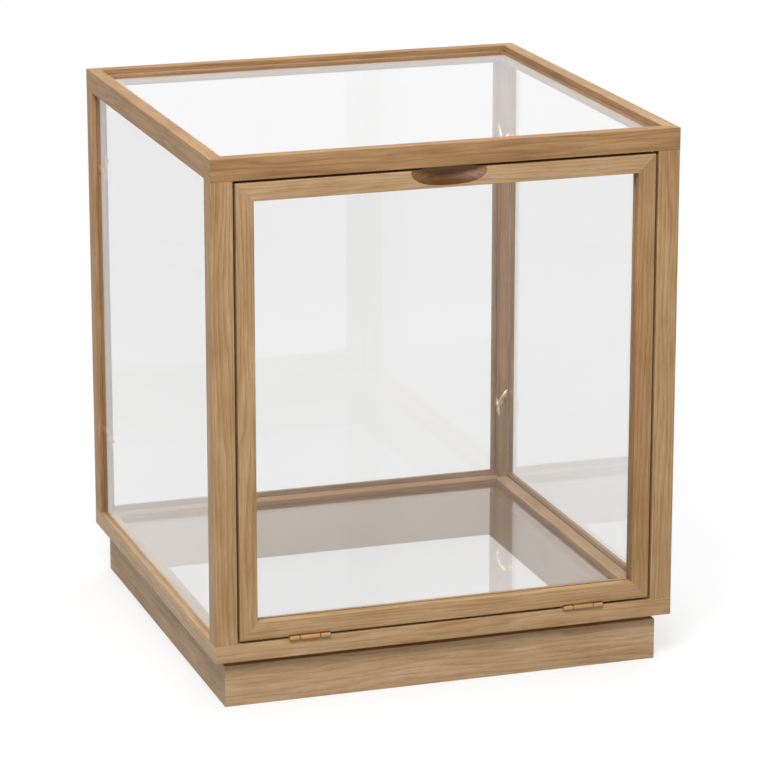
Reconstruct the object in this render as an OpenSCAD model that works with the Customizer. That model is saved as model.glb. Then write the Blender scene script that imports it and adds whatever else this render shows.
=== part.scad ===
// Glass display case: a mitred oak frame with five loose panes, on a set-back plinth,
// closed at the front by an inset door that drops forward on two butt hinges.
// +Z is up and the door faces -Y. Sizes are in millimetres, and the case stands on Z = 0.
// At a corner of the case, u is the distance in from the side face and v the distance
// in from the front or rear face.

/* [Case] */
// Width over the side faces
case_w = 450; // [400:5:600]
// Depth over the front and rear faces
case_d = 450; // [400:5:600]
// Height from the table to the top faces of the frame
case_h = 520; // [460:5:700]

/* [Oak frame] */
// Width of a post's outer faces and height of a top rail
member = 21; // [20:0.5:24]
// Thickness of the lip that a pane bears against from inside
lip = 4; // [3.5:0.25:5]
// Width by which a lip covers the edge of a pane
cover = 5; // [4:0.5:6]
// Height of a bottom rail
bottom_rail_h = 17; // [17:0.5:24]
// Depth of the ledge that the top pane lies in, below the frame's top faces
top_ledge_drop = 8; // [6:0.5:9]
// Width of that ledge, measured out from the rail's inner face
top_ledge_w = 8; // [6:0.5:10]

/* [Glass] */
// Thickness of every pane
glass = 3; // [2.5:0.5:4]
// Play of a pane between its two edges, over both together
pane_play = 1; // [0.5:0.25:2]
// Depth to which the floor pane's groove is cut into a bottom rail
groove_depth = 6; // [4:0.5:8]
// Height of the groove's lower wall above the bottom rail's underside
groove_rise = 4.5; // [4:0.25:6]

/* [Plinth] */
// Distance of the plinth's faces in from the faces of the frame
plinth_inset = 11.5; // [8:0.5:15]
// Height of the plinth's outer faces
plinth_face_h = 40; // [30:1:60]
// Height of the shadow gap between the plinth's outer face and the frame
shadow_gap = 7; // [4:0.5:10]
// Depth of the shadow gap
shadow_depth = 6; // [3:0.5:8]
// Thickness of a plinth board
plinth_board = 22; // [18:0.5:28]

/* [Door] */
// Gap around the inset door
door_gap = 2.5; // [2.5:0.1:3]
// Face width of the door's rails and stiles
door_face = 17; // [17:0.5:22]
// Thickness of the door frame
door_depth = 16; // [16:0.5:18]
// Distance of the door glass behind the door's front face
door_reveal = 8; // [7:0.5:9]
// Width of the rebate that the door glass and its beads lie in
door_rebate = 5; // [4:0.5:6]

/* [Finger scoop] */
// Width of the scoop in the door's top front edge
scoop_w = 75; // [50:1:90]
// Depth of the scoop into the door's top face
scoop_depth = 12; // [8:0.5:12]
// Radius of the scoop's round section
scoop_r = 15; // [12:0.5:15]
// Distance of the centre of that section in front of the door's face
scoop_out = 3; // [1:0.5:5]

/* [Hinges] */
// Length of a hinge
hinge_len = 40; // [30:1:50]
// Distance of a hinge's middle from the side edge of the door
hinge_inset = 66.5; // [45:0.5:100]
// Radius of the hinge barrel
barrel_r = 2.2; // [2:0.1:2.4]
// Distance of the hinge axis in front of the case's front face
axis_out = 1.2; // [1:0.1:1.6]
// Radius of the hinge pin
pin_r = 0.8; // [0.6:0.1:1]
// Depth of a leaf into the case, from the front face
leaf_depth = 12; // [9:0.5:13]
// Thickness of a leaf
leaf_t = 1; // [0.8:0.1:1.2]
// Running gap between two knuckles
knuckle_gap = 0.2; // [0.1:0.05:0.4]
// Room between a knuckle and the oak or brass cut away around it
relief_room = 0.2; // [0.1:0.05:0.3]
// Radius of a leaf screw's flat head
leaf_head_r = 2; // [1.8:0.1:2.2]
// Distance of the leaf screws behind the front face
leaf_screw_in = 6.6; // [5:0.1:7]
// Distance of a leaf screw from the hinge's middle
leaf_screw_x = 13; // [11:0.5:15]
// Radius of a leaf screw's shank
leaf_screw_r = 1.1; // [0.9:0.1:1.3]
// Length of a leaf screw
leaf_screw_len = 10; // [8:0.5:11]

/* [Turn buttons] */
// Half the length of a button
button_half = 10.5; // [9.5:0.25:10.5]
// Half the width of a button
button_half_w = 3.2; // [2.8:0.1:3.4]
// Thickness of a button at its screw
button_t = 2.6; // [2:0.1:3]
// Thickness of a button at its tips
button_tip_t = 0.9; // [0.6:0.1:1.5]
// Distance of a button's screw from the outer face beside the pane
button_in = 12.5; // [12.5:0.1:12.8]
// Lean of a button toward its pane
button_lean = 30; // [15:1:30]
// Height of the side panes' buttons above and below the middle of the post
side_button_rise = 136; // [100:1:150]
// Extra height of the rear pane's buttons, which clears the side panes' buttons
rear_button_extra = 10; // [10:1:20]
// Radius of a button screw's shank
button_screw_r = 1.2; // [1:0.1:1.4]
// Radius of a button screw's round head
button_head_r = 2.3; // [2:0.1:2.6]
// Height of a button screw's round head
button_head_h = 1.5; // [1:0.1:1.8]
// Depth of a button screw in the oak
button_screw_hold = 9; // [7:0.5:10]
// Running gap of a button on its post and under its screw head
button_gap = 0.1; // [0.05:0.05:0.15]

/* [Screw slots and fits] */
// Width of a screw's slot
slot_w = 0.5; // [0.4:0.1:0.8]
// Depth of the slot in a flat head
flat_slot_d = 0.4; // [0.3:0.1:0.6]
// Depth of the slot in a round head
round_slot_d = 0.6; // [0.4:0.1:0.8]
// Radial play of a pin or a screw in its hole
clearance = 0.05; // [0.02:0.01:0.08]

/* [Catch] */
// Height of the stop strip that the door closes against
stop_h = 9; // [8:0.5:10]
// Gap between the closed door and the stop strip
stop_gap = 0.4; // [0.2:0.1:0.6]
// Radius of a catch magnet and of the steel plate opposite
catch_r = 2.25; // [1.5:0.25:2.5]
// Length of a catch magnet
magnet_len = 3; // [2:0.5:4]
// Thickness of a catch plate
catch_plate_t = 1.5; // [1:0.25:2]
// Distance of a magnet from the middle of the case
catch_x = 60; // [50:1:110]

/* [Hidden] */

$fn = 64;
// Oak, glass, brass and steel as they look on the case
oak = [0.67, 0.55, 0.40];
pane_tint = [0.80, 0.90, 0.87, 0.30];
brass = [0.78, 0.62, 0.34];
steel = [0.72, 0.72, 0.74];

// Sides of the case, counted anticlockwise from above
FRONT = 0;
RIGHT = 1;
REAR = 2;
LEFT = 3;
// Edges of the door, counted anticlockwise as seen from the front
BOTTOM = 0;
RIGHT_EDGE = 1;
TOP = 2;
LEFT_EDGE = 3;

// A post's core stands inside the lips, and every rail's rebate starts at the same line
core = member - cover;
// Levels of the frame
rail_foot_z = plinth_face_h + shadow_gap;
sill_z = rail_foot_z + bottom_rail_h;
head_z = case_h - member;
pane_foot_z = sill_z - cover;
pane_head_z = head_z + cover;
ledge_z = case_h - top_ledge_drop;
floor_z = rail_foot_z + groove_rise;
// The hinge barrels stand proud in front, and this shift centres the whole case on Y = 0
shift_y = (axis_out + barrel_r) / 2;
front_y = shift_y - case_d / 2;

// The door fills the opening between the front posts but for the gap
door_w = case_w - 2 * member - 2 * door_gap;
door_h = head_z - sill_z - 2 * door_gap;
door_mid_z = (head_z + sill_z) / 2;
door_foot_z = sill_z + door_gap;
door_top_z = head_z - door_gap;
bead_depth = door_depth - door_reveal - glass;

// The hinge axis runs in the middle of the gap under the door
axis_y = front_y - axis_out;
axis_z = sill_z + door_gap / 2;
bore_r = pin_r + clearance;
relief_r = barrel_r + relief_room;
knuckle = hinge_len / 4;
leaf_screw_y = front_y + leaf_screw_in;
hinge_x = door_w / 2 - hinge_inset;

// Ring that cuts the scoop: its middle line passes the scoop's ends at the door's top face
scoop_reach = scoop_r - scoop_depth + scoop_out;
scoop_half = scoop_w / 2;
ring_out = (scoop_half * scoop_half - scoop_depth * scoop_depth) / (2 * scoop_depth);
ring_r = ring_out + scoop_depth - scoop_r;

button_seat = 2 * button_gap + button_t;
button_mid_z = door_mid_z;
// Radius of the two arcs that bound a button, and of the dome over it
arc_r = (button_half * button_half + button_half_w * button_half_w) / (2 * button_half_w);
dome_drop = button_t - button_tip_t;
dome_r = (button_half * button_half + dome_drop * dome_drop) / (2 * dome_drop);
// The stop strip's face, and the level of the catch between its foot and the door's top
stop_v = door_depth + stop_gap;
catch_z = (head_z - stop_h + door_top_z) / 2;
// Depth of a cut beyond the face that it opens
over = 1;

// Placing

// Middle of one side of the case: X runs along the side, Y goes in, Z is up
module at_side(k) {
    half = k % 2 == 0 ? case_d / 2 : case_w / 2;
    translate([0, shift_y, 0]) rotate([0, 0, 90 * k]) translate([0, -half, 0]) children();
}

// One corner of the case: X is u, Y is v and Z is up, mirrored where needed
module at_corner(sx, sy) {
    translate([sx * case_w / 2, shift_y + sy * case_d / 2, 0])
        mirror([sx > 0 ? 1 : 0, 0, 0])
        mirror([0, sy > 0 ? 1 : 0, 0])
        children();
}

// Middle of one edge of the door: X runs along the edge, Y goes back, Z goes in
module at_door_edge(k) {
    half = k % 2 == 0 ? door_h / 2 : door_w / 2;
    translate([0, front_y, door_mid_z]) rotate([0, -90 * k, 0]) translate([0, 0, -half]) children();
}

function side_length(k) = k % 2 == 0 ? case_w : case_d;
function door_length(k) = k % 2 == 0 ? door_w : door_h;

// Mitred bars

// A section in Y and Z carried along X
module along(length) {
    rotate([90, 0, 90]) linear_extrude(length, center = true) children();
}

// The plan of a bar mitred at both ends
module mitre_plan(length, width) {
    linear_extrude(3 * case_h, center = true)
        polygon([
            [-length / 2, 0],
            [length / 2, 0],
            [length / 2 - width, width],
            [-length / 2 + width, width]
        ]);
}

// Rebate for the side or rear pane, stopped at the front posts' cores
module pane_rebate(k, z0, z1) {
    length = side_length(k);
    start = k == RIGHT ? -length / 2 + core : -length / 2 - over;
    end = k == LEFT ? length / 2 - core : length / 2 + over;
    translate([start, lip, z0]) cube([end - start, member, z1 - z0]);
}

// Sub-parts of the frame

module front_post(sx) {
    color(oak) at_corner(sx, -1) translate([0, 0, sill_z]) linear_extrude(head_z - sill_z)
        polygon([[0, 0], [member, 0], [member, core], [lip, core], [lip, member], [0, member]]);
}

// The core of a rear post runs past the lips, down and up to the rebated rails
module rear_post(sx) {
    color(oak) at_corner(sx, 1) union() {
        translate([0, 0, sill_z]) linear_extrude(head_z - sill_z)
            polygon([
                [0, 0], [member, 0], [member, lip], [core, lip],
                [core, core], [lip, core], [lip, member], [0, member]
            ]);
        translate([lip, lip, pane_foot_z]) cube([core - lip, core - lip, pane_head_z - pane_foot_z]);
    }
}

module drilled_front_post(sx) {
    difference() {
        front_post(sx);
        side_screw_holes(sx, -1);
    }
}

module drilled_rear_post(sx) {
    difference() {
        rear_post(sx);
        side_screw_holes(sx, 1);
        rear_screw_holes(sx);
    }
}

module top_rail(k) {
    color(oak) at_side(k) difference() {
        intersection() {
            along(side_length(k)) polygon([
                [0, head_z], [member, head_z], [member, ledge_z],
                [member - top_ledge_w, ledge_z], [member - top_ledge_w, case_h], [0, case_h]
            ]);
            mitre_plan(side_length(k), member);
        }
        if (k != FRONT) pane_rebate(k, head_z - over, pane_head_z);
    }
}

module bottom_rail(k) {
    groove_y = member - groove_depth;
    color(oak) at_side(k) difference() {
        intersection() {
            along(side_length(k)) polygon([
                [0, rail_foot_z], [member, rail_foot_z], [member, floor_z],
                [groove_y, floor_z], [groove_y, floor_z + glass],
                [member, floor_z + glass], [member, sill_z], [0, sill_z]
            ]);
            mitre_plan(side_length(k), member);
        }
        if (k != FRONT) pane_rebate(k, pane_foot_z, sill_z + over);
    }
}

module bottom_rail_front() {
    color(oak) difference() {
        bottom_rail(FRONT);
        for (sx = [-1, 1]) {
            translate([sx * hinge_x, 0, 0]) case_mortise();
            for (i = [-1, 1]) leaf_screw_hole(sx * hinge_x + i * leaf_screw_x, -1);
        }
    }
}

module plinth(k) {
    length = side_length(k) - 2 * plinth_inset;
    color(oak) at_side(k) translate([0, plinth_inset, 0]) intersection() {
        along(length) polygon([
            [0, 0], [plinth_board, 0], [plinth_board, rail_foot_z],
            [shadow_depth, rail_foot_z], [shadow_depth, plinth_face_h], [0, plinth_face_h]
        ]);
        mitre_plan(length, plinth_board);
    }
}

// Panes

module side_pane(k) {
    length = side_length(k) - 2 * core - pane_play;
    color(pane_tint) at_side(k) translate([-length / 2, lip, pane_foot_z])
        cube([length, glass, pane_head_z - pane_foot_z - pane_play]);
}

module level_pane(margin, z) {
    w = case_w - 2 * margin - pane_play;
    d = case_d - 2 * margin - pane_play;
    color(pane_tint) translate([-w / 2, shift_y - d / 2, z]) cube([w, d, glass]);
}

// Door

// One bar of a frame in the door's plane: Z goes in from the door's edge
module door_mitre(length, width) {
    intersection() {
        along(length) children();
        rotate([90, 0, 0]) mitre_plan(length, width);
    }
}

module door_bar(k) {
    rebate_z = door_face - door_rebate;
    color(oak) at_door_edge(k) door_mitre(door_length(k), door_face) polygon([
        [0, 0], [door_depth, 0], [door_depth, rebate_z],
        [door_reveal, rebate_z], [door_reveal, door_face], [0, door_face]
    ]);
}

module door_rail_bottom() {
    color(oak) difference() {
        door_bar(BOTTOM);
        for (sx = [-1, 1]) {
            translate([sx * hinge_x, 0, 0]) door_mortise();
            for (i = [-1, 1]) leaf_screw_hole(sx * hinge_x + i * leaf_screw_x, 1);
        }
    }
}

module door_rail_top() {
    color(oak) difference() {
        door_bar(TOP);
        finger_scoop();
        for (sx = [-1, 1])
            catch_disc(sx, door_depth - catch_plate_t - clearance, catch_plate_t + over, catch_r + clearance);
    }
}

// A ring lying level in front of the door, which bites into the top front edge
module finger_scoop() {
    translate([0, front_y - ring_out, door_top_z]) rotate_extrude($fn = 128)
        translate([ring_r, 0]) circle(r = scoop_r);
}

module door_bead(k) {
    inset = door_face - door_rebate;
    color(oak) at_door_edge(k) translate([0, 0, inset])
        door_mitre(door_length(k) - 2 * inset, door_rebate)
        translate([door_reveal + glass, 0]) square([bead_depth, door_rebate]);
}

module door_glass() {
    inset = door_face - door_rebate + pane_play / 2;
    color(pane_tint)
        translate([-door_w / 2 + inset, front_y + door_reveal, door_foot_z + inset])
        cube([door_w - 2 * inset, glass, door_h - 2 * inset]);
}

// Hinges

// A cylinder on the hinge axis from x0 to x1
module on_axis(x0, x1, r) {
    translate([x0, axis_y, axis_z]) rotate([0, 90, 0]) cylinder(h = x1 - x0, r = r);
}

// Shallow mortise for a leaf, with a round relief for the barrel
module case_mortise() {
    half = hinge_len / 2;
    translate([-half, front_y - over, sill_z - leaf_t]) cube([hinge_len, leaf_depth + over, leaf_t + over]);
    on_axis(-half, half, relief_r);
}

module door_mortise() {
    half = hinge_len / 2;
    translate([-half, front_y - over, door_foot_z - over]) cube([hinge_len, leaf_depth + over, leaf_t + over]);
    on_axis(-half, half, relief_r);
}

module leaf_screw_hole(x, up) {
    face_z = up > 0 ? door_foot_z : sill_z;
    translate([x, leaf_screw_y, face_z]) rotate([up > 0 ? 0 : 180, 0, 0])
        cylinder(h = leaf_screw_len + clearance, r = leaf_screw_r + clearance);
}

// Countersunk screw with its flat head flush with the leaf
module leaf_screw(x, up) {
    face_z = up > 0 ? door_foot_z : sill_z;
    translate([x, leaf_screw_y, face_z]) rotate([up > 0 ? 0 : 180, 0, 0]) difference() {
        rotate_extrude() polygon([
            [0, 0], [leaf_head_r, 0], [leaf_screw_r, leaf_t],
            [leaf_screw_r, leaf_screw_len - leaf_screw_r], [0, leaf_screw_len]
        ]);
        cube([2 * leaf_head_r + over, slot_w, 2 * flat_slot_d], center = true);
    }
}

// Countersink in a leaf, with a little room around the screw's head
module countersink(x, up) {
    face_z = up > 0 ? door_foot_z : sill_z;
    translate([x, leaf_screw_y, face_z]) rotate([up > 0 ? 0 : 180, 0, 0]) rotate_extrude() polygon([
        [0, -over], [leaf_head_r + clearance, -over], [leaf_head_r + clearance, 0],
        [leaf_screw_r + clearance, leaf_t], [leaf_screw_r + clearance, leaf_t + over], [0, leaf_t + over]
    ]);
}

// The leaf in the bottom rail carries the two outer knuckles
module hinge_case_leaf(sx) {
    half = hinge_len / 2;
    x = sx * hinge_x;
    color(brass) difference() {
        union() {
            translate([x - half, axis_y, sill_z - leaf_t]) cube([hinge_len, leaf_depth + axis_out, leaf_t]);
            on_axis(x - half, x - half + knuckle, barrel_r);
            on_axis(x + half - knuckle, x + half, barrel_r);
        }
        on_axis(x - half - over, x + half + over, bore_r);
        on_axis(x - half + knuckle, x + half - knuckle, relief_r);
        for (i = [-1, 1]) countersink(x + i * leaf_screw_x, -1);
    }
}

// The leaf in the door carries the long middle knuckle
module hinge_door_leaf(sx) {
    half = hinge_len / 2;
    mid = half - knuckle - knuckle_gap;
    x = sx * hinge_x;
    color(brass) difference() {
        union() {
            translate([x - half, axis_y, door_foot_z]) cube([hinge_len, leaf_depth + axis_out, leaf_t]);
            on_axis(x - mid, x + mid, barrel_r);
        }
        on_axis(x - half - over, x + half + over, bore_r);
        on_axis(x - half - over, x - mid, relief_r);
        on_axis(x + mid, x + half + over, relief_r);
        for (i = [-1, 1]) countersink(x + i * leaf_screw_x, 1);
    }
}

module hinge_pin(sx) {
    x = sx * hinge_x;
    color(brass) on_axis(x - hinge_len / 2, x + hinge_len / 2, pin_r);
}

module hinge_screws(up) {
    color(brass) for (sx = [-1, 1], i = [-1, 1]) leaf_screw(sx * hinge_x + i * leaf_screw_x, up);
}

// Turn buttons

// Place on the core face of a post that a side pane's button turns on: Z points away
// from the face, and the button's length starts along Y
module on_side_face(sx, sy, z) {
    at_corner(sx, sy) translate([button_in, core, z]) rotate([-90, 0, 0]) children();
}

// The same place on a rear post's other face, for the rear pane
module on_rear_face(sx, z) {
    at_corner(sx, 1) mirror([1, -1, 0]) translate([button_in, core, z]) rotate([-90, 0, 0]) children();
}

function side_button_z(level) = button_mid_z + level * side_button_rise;
function rear_button_z(level) = button_mid_z + level * (side_button_rise + rear_button_extra);

// Lens-shaped plate, domed on top, that turns on its screw
module turn_button() {
    color(brass) translate([0, 0, button_gap]) rotate([0, 0, -button_lean]) difference() {
        intersection() {
            lens_plate();
            translate([0, 0, button_t - dome_r]) sphere(r = dome_r, $fn = 128);
        }
        translate([0, 0, -over]) cylinder(h = button_t + 2 * over, r = button_screw_r + clearance);
    }
}

module lens_plate() {
    intersection() {
        translate([arc_r - button_half_w, 0, 0]) cylinder(h = button_t, r = arc_r, $fn = 128);
        translate([button_half_w - arc_r, 0, 0]) cylinder(h = button_t, r = arc_r, $fn = 128);
    }
}

// Round-headed slotted screw that a button turns on
module button_screw() {
    cap_r = (button_head_r * button_head_r + button_head_h * button_head_h) / (2 * button_head_h);
    color(brass) difference() {
        union() {
            translate([0, 0, -button_screw_hold])
                cylinder(h = button_screw_hold + button_seat, r = button_screw_r);
            intersection() {
                translate([0, 0, button_seat]) cylinder(h = button_head_h, r = button_head_r);
                translate([0, 0, button_seat + button_head_h - cap_r]) sphere(r = cap_r);
            }
        }
        translate([0, 0, button_seat + button_head_h])
            cube([2 * button_head_r, slot_w, 2 * round_slot_d], center = true);
    }
}

module button_screw_hole() {
    translate([0, 0, -button_screw_hold - clearance])
        cylinder(h = button_screw_hold + over, r = button_screw_r + clearance);
}

module side_screw_holes(sx, sy) {
    for (level = [-1, 1]) on_side_face(sx, sy, side_button_z(level)) button_screw_hole();
}

module rear_screw_holes(sx) {
    for (level = [-1, 1]) on_rear_face(sx, rear_button_z(level)) button_screw_hole();
}

module side_button(sx, sy, level) {
    on_side_face(sx, sy, side_button_z(level)) turn_button();
}

module rear_button(sx, level) {
    on_rear_face(sx, rear_button_z(level)) turn_button();
}

module button_screws() {
    for (sx = [-1, 1], level = [-1, 1]) {
        for (sy = [-1, 1]) on_side_face(sx, sy, side_button_z(level)) button_screw();
        on_rear_face(sx, rear_button_z(level)) button_screw();
    }
}

// Catch

// Disc on the catch's level, from v inwards
module catch_disc(sx, v, length, r) {
    translate([sx * catch_x, front_y + v, catch_z]) rotate([-90, 0, 0]) cylinder(h = length, r = r);
}

module door_stop() {
    color(oak) difference() {
        translate([-door_w / 2, front_y + stop_v, head_z - stop_h]) cube([door_w, member - stop_v, stop_h]);
        for (sx = [-1, 1]) catch_disc(sx, stop_v - over, magnet_len + over + clearance, catch_r + clearance);
    }
}

module catch_magnets() {
    color(steel) for (sx = [-1, 1]) catch_disc(sx, stop_v, magnet_len, catch_r);
}

module catch_plates() {
    color(steel) for (sx = [-1, 1]) catch_disc(sx, door_depth - catch_plate_t, catch_plate_t, catch_r);
}

// Every sub-part, one node each

drilled_front_post(-1);  // post_front_left
drilled_front_post(1);  // post_front_right
drilled_rear_post(-1);  // post_rear_left
drilled_rear_post(1);  // post_rear_right
top_rail(FRONT);  // top_rail_front
top_rail(RIGHT);  // top_rail_right
top_rail(REAR);  // top_rail_rear
top_rail(LEFT);  // top_rail_left
bottom_rail_front();
bottom_rail(RIGHT);  // bottom_rail_right
bottom_rail(REAR);  // bottom_rail_rear
bottom_rail(LEFT);  // bottom_rail_left
plinth(FRONT);  // plinth_front
plinth(RIGHT);  // plinth_right
plinth(REAR);  // plinth_rear
plinth(LEFT);  // plinth_left
side_pane(LEFT);  // pane_left
side_pane(RIGHT);  // pane_right
side_pane(REAR);  // pane_rear
level_pane(member - top_ledge_w, ledge_z);  // pane_top
level_pane(member - groove_depth, floor_z);  // pane_floor
door_rail_bottom();
door_bar(RIGHT_EDGE);  // door_stile_right
door_rail_top();
door_bar(LEFT_EDGE);  // door_stile_left
door_bead(BOTTOM);  // door_bead_bottom
door_bead(RIGHT_EDGE);  // door_bead_right
door_bead(TOP);  // door_bead_top
door_bead(LEFT_EDGE);  // door_bead_left
door_glass();
hinge_case_leaf(-1);  // hinge_case_leaf_left
hinge_case_leaf(1);  // hinge_case_leaf_right
hinge_door_leaf(-1);  // hinge_door_leaf_left
hinge_door_leaf(1);  // hinge_door_leaf_right
hinge_pin(-1);  // hinge_pin_left
hinge_pin(1);  // hinge_pin_right
hinge_screws(-1);  // hinge_screws_case
hinge_screws(1);  // hinge_screws_door
side_button(-1, -1, -1);  // button_left_front_low
side_button(-1, -1, 1);  // button_left_front_high
side_button(-1, 1, -1);  // button_left_rear_low
side_button(-1, 1, 1);  // button_left_rear_high
side_button(1, -1, -1);  // button_right_front_low
side_button(1, -1, 1);  // button_right_front_high
side_button(1, 1, -1);  // button_right_rear_low
side_button(1, 1, 1);  // button_right_rear_high
rear_button(-1, -1);  // button_rear_left_low
rear_button(-1, 1);  // button_rear_left_high
rear_button(1, -1);  // button_rear_right_low
rear_button(1, 1);  // button_rear_right_high
button_screws();
door_stop();
catch_magnets();
catch_plates();
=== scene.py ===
"""Looks of a glass display case: oiled oak members, float glass panes, brass hinges and buttons.

Lengths are in metres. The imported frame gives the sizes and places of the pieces, and the
few sizes that its boxes don't tell are named below in millimetres. At a side of the case,
x runs along the side, y goes inward from its outer face and z is up.
"""
import math
from functools import partial

import bmesh
import bpy
import numpy as np
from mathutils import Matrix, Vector


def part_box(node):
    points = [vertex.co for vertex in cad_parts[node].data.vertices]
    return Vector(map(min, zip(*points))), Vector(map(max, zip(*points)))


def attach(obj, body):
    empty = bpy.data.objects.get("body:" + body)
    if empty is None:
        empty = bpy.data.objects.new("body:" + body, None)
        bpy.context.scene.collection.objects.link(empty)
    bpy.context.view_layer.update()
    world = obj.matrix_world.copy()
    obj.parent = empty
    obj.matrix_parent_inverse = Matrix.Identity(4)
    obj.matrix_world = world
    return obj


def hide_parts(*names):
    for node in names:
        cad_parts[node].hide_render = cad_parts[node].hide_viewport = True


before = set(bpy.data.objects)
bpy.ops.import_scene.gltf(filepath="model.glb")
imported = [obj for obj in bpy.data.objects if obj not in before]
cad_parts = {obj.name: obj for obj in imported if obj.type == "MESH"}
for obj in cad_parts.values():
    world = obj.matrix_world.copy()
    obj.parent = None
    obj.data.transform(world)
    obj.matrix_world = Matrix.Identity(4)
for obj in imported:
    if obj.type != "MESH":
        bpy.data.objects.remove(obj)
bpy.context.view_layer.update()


def mm(x):
    """Millimetres to metres."""
    return x / 1000.0


# Sizes of the case, read from the frame's boxes

front_post_lo, front_post_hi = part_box("post_front_left")
rear_post_lo, rear_post_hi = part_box("post_rear_left")
top_rail_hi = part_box("top_rail_front")[1]
pane_left_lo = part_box("pane_left")[0]
pane_top_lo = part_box("pane_top")[0]
pane_floor_lo, pane_floor_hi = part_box("pane_floor")
plinth_lo, plinth_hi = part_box("plinth_front")
stile_lo, stile_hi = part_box("door_stile_left")
door_glass_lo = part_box("door_glass")[0]
bead_lo, bead_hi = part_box("door_bead_left")
stop_lo, stop_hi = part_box("door_stop")

LEFT_X = front_post_lo.x
FRONT_Y = front_post_lo.y
REAR_Y = rear_post_hi.y
CASE_W = -2 * LEFT_X
CASE_D = REAR_Y - FRONT_Y
MID_Y = (REAR_Y + FRONT_Y) / 2
TOP_Z = top_rail_hi.z
MEMBER = front_post_hi.x - front_post_lo.x
SILL_Z = front_post_lo.z
HEAD_Z = front_post_hi.z
PANE_FOOT_Z = rear_post_lo.z
PANE_HEAD_Z = rear_post_hi.z
CORE = MEMBER - (SILL_Z - PANE_FOOT_Z)
LIP = pane_left_lo.x - LEFT_X
RAIL_FOOT_Z = plinth_hi.z
PLINTH_IN = plinth_lo.y - FRONT_Y
PLINTH_T = plinth_hi.y - plinth_lo.y
LEDGE_Z = pane_top_lo.z
FLOOR_Z = pane_floor_lo.z
FLOOR_TOP_Z = pane_floor_hi.z

DOOR_W = stile_hi.x * -2 + 2 * (stile_hi.x - stile_lo.x)
DOOR_FOOT_Z = stile_lo.z
DOOR_TOP_Z = stile_hi.z
DOOR_H = DOOR_TOP_Z - DOOR_FOOT_Z
DOOR_MID_Z = (DOOR_TOP_Z + DOOR_FOOT_Z) / 2
DOOR_FACE = stile_hi.x - stile_lo.x
DOOR_DEPTH = stile_hi.y - stile_lo.y
DOOR_REVEAL = door_glass_lo.y - FRONT_Y
BEAD_IN = bead_lo.x - stile_lo.x
BEAD_W = bead_hi.x - bead_lo.x
BEAD_DEPTH = bead_hi.y - bead_lo.y

# Sizes that the boxes don't tell. The panes have play in their ledge and groove, and a shadow
# gap runs round the head of the plinth.

PANE_PLAY = mm(1)
LEDGE_IN = pane_top_lo.x - PANE_PLAY / 2 - LEFT_X
GROOVE_IN = pane_floor_lo.x - PANE_PLAY / 2 - LEFT_X
SHADOW_GAP = mm(7)
SHADOW_DEPTH = mm(6)

# Eased edges: outer ones, inner ones, those at a glued joint and the round one of a bead

EASE = mm(0.7)
INNER_EASE = mm(0.3)
JOINT_EASE = mm(0.12)
BEAD_EASE = mm(1.6)
EASE_SHARE = 0.45

# The finger scoop is cut by a ring of round section. SCOOP_R is the radius of that section, and
# the ring's middle line is a circle of SCOOP_RING_R about a point SCOOP_RING_OUT in front of
# the door. A face counts as the scoop's within SCOOP_SLACK times the section's radius.

SCOOP_W = mm(75)
SCOOP_DEPTH = mm(12)
SCOOP_R = mm(15)
SCOOP_RING_OUT = ((SCOOP_W / 2) ** 2 - SCOOP_DEPTH**2) / (2 * SCOOP_DEPTH)
SCOOP_RING_R = SCOOP_RING_OUT + SCOOP_DEPTH - SCOOP_R
SCOOP_SLACK = 1.02

# Seamed arrises of the glass, the film of air round a pane, how far a flat screw or a disc
# stands proud, and how far off a board's face a point has to be to count as off it

SEAM = mm(0.35)
PANE_AIR = mm(0.02)
PROUD = mm(0.08)
OFF_FACE = mm(0.1)

# Points nearer than MERGE become one, TINY keeps a division from failing, and edges above
# SHARP_DEGREES stay sharp

MERGE = mm(0.001)
TINY = 1e-9
SHARP_DEGREES = 35

# Hinges

leaf_lo, leaf_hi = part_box("hinge_case_leaf_left")
pin_lo, pin_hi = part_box("hinge_pin_left")
LEAF_DEEP = leaf_hi.y - FRONT_Y
LEAF_T = mm(1)
AXIS_Y = (pin_lo.y + pin_hi.y) / 2
AXIS_Z = (pin_lo.z + pin_hi.z) / 2
KNUCKLE_R = AXIS_Y - leaf_lo.y
KNUCKLE_GAP = mm(0.2)
KNUCKLE_EASE = mm(0.8)
HOLLOW_R = KNUCKLE_R + mm(0.2)
PLATE_OUT = AXIS_Z - leaf_lo.z - KNUCKLE_R
PIN_DOME = mm(0.25)
PIN_SHOULDER = (0.6, 0.7)
PIN_BODY = "case"
LEAF_SCREW_X = mm(13)
LEAF_SCREW_IN = mm(6.6)
LEAF_SCREW_LEN = mm(10)
LEAF_SCREW_TURN = math.radians(50)
LEAF_HEAD_R = mm(2)
LEAF_RIM = LEAF_T * 0.3
LEAF_SHANK_R = mm(1.1)
SLOT_W = mm(0.5)
FLAT_SLOT = mm(0.4)
ROUND_SLOT = mm(0.6)

# Turn buttons and their screws. BUTTON_POINT is a screw's point, as (radius, up from its tip),
# and a screw's slot is turned by up to BUTTON_SCREW_TURN either way.

BUTTON_IN = mm(12.5)
BUTTON_LEAN = math.radians(30)
BUTTON_HALF = mm(10.5)
BUTTON_HALF_W = mm(3.2)
BUTTON_T = mm(2.6)
BUTTON_TIP = mm(0.9)
BUTTON_GAP = mm(0.1)
BUTTON_TAPER = 0.6
BUTTON_CROWN = 0.45
BUTTON_HEAD_R = mm(2.3)
BUTTON_HEAD_H = mm(1.5)
BUTTON_RIM = mm(0.02)
BUTTON_SHANK_R = mm(1.2)
BUTTON_HOLD = mm(9)
BUTTON_POINT = [(0, 0), (BUTTON_SHANK_R * 0.5, mm(1)), (BUTTON_SHANK_R, mm(3))]
BUTTON_SCREW_TURN = 1.0

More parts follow.
